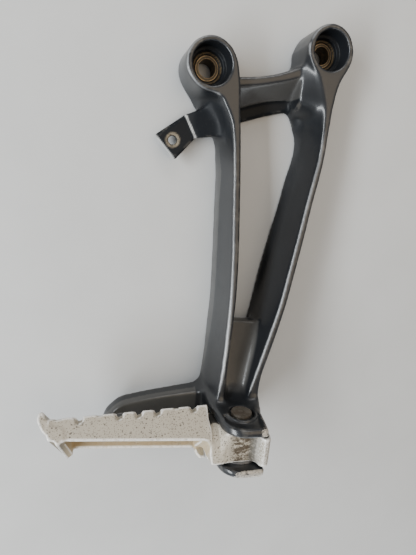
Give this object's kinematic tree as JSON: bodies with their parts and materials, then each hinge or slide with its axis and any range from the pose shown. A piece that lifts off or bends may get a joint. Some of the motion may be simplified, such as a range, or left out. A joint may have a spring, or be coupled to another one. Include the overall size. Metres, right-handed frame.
{
  "type": "motorcycle foot peg",
  "caption": "Folding motorcycle passenger foot peg with a toothed channel tread on its cast two-boss hanger bracket.",
  "frame": {"origin": "centre of the left mounting boss's hole, on the back face that seats on the motorcycle frame", "axes": "+Z outwards along the mounting bolts, +Y parallel to the hinge pin, from the clevis towards the bosses, and +X from the left boss towards the right boss's side"},
  "size_m": [0.1686, 0.2645, 0.0692],
  "materials": {
    "satin_black_casting": "satin",
    "worn_silver_casting": "matte",
    "sleeve_steel": "satin",
    "pin_steel": "satin",
    "rusty_steel": "matte",
    "spring_steel": "satin",
    "polished_steel": "polished"
  },
  "bodies": {
    "hanger": {"hanger_bracket": "satin_black_casting", "left_boss_sleeve": "sleeve_steel", "right_boss_sleeve": "sleeve_steel", "click_plate": "spring_steel"},
    "peg": {"folding_peg": "worn_silver_casting", "detent_spring": "spring_steel"},
    "ball": {"detent_ball": "polished_steel"},
    "pin": {"clevis_pin": "pin_steel", "pin_washer": "pin_steel", "split_pin": "rusty_steel"}
  },
  "joints": [
    {"name": "peg_fold", "type": "hinge", "parent": "hanger", "child": "peg", "pos_m": [0.0288, -0.2086, 0.05], "axis": [0, 1, 0], "range_deg": [0, 90]},
    {"name": "pin_turn", "type": "hinge", "parent": "hanger", "child": "pin", "pos_m": [0.0288, -0.2086, 0.05], "axis": [0, 1, 0], "continuous": true},
    {"name": "ball_press", "type": "slide", "parent": "peg", "child": "ball", "axis": [0, 1, 0], "range_m": [0, 0.0009], "stiffness_N_per_m": 2000, "springref_m": -0.002, "deforming": ["detent_spring"]}
  ]
}
